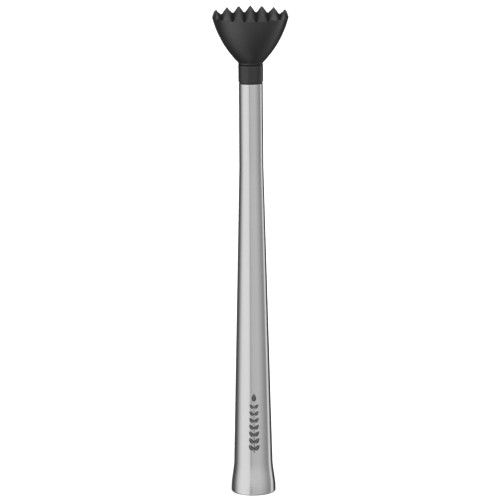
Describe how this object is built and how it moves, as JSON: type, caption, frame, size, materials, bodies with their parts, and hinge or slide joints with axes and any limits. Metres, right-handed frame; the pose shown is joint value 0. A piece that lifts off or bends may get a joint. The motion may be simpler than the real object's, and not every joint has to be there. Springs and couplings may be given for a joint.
{
  "type": "muddler",
  "caption": "Bar muddler with a tapered, flared stainless handle and a toothed black nylon head that screws into its thin end.",
  "frame": {"origin": "centre of the butt's flat face, where the muddler stands", "axes": "+Z along the handle from the butt towards the toothed head, +X and +Y along the two directions of the tooth grooves"},
  "size_m": [0.0354, 0.0354, 0.2286],
  "materials": {
    "brushed_stainless": "satin brushed",
    "turned_stainless": "turned and satin polished",
    "machined_steel": "machined",
    "silicone": "matt",
    "black_nylon": "fine satin moulded"
  },
  "bodies": {
    "handle": {"handle_tube": "brushed_stainless", "base_cap": "turned_stainless", "neck_bush": "machined_steel"},
    "seal": {"seal_ring": "silicone"},
    "head": {"muddler_head": "black_nylon", "head_stud": "machined_steel"}
  },
  "joints": [
    {"name": "head_lift", "type": "slide", "parent": "handle", "child": "seal", "axis": [0, 0, 1], "range_m": [0, 0.008]},
    {"name": "head_turn", "type": "hinge", "parent": "seal", "child": "head", "pos_m": [0, 0, 0.1951], "axis": [0, 0, 1], "range_deg": [0, 2880]}
  ],
  "couplings": [
    {"joint": "head_lift", "follows": "head_turn", "m_per_rad": 0.00015915}
  ]
}
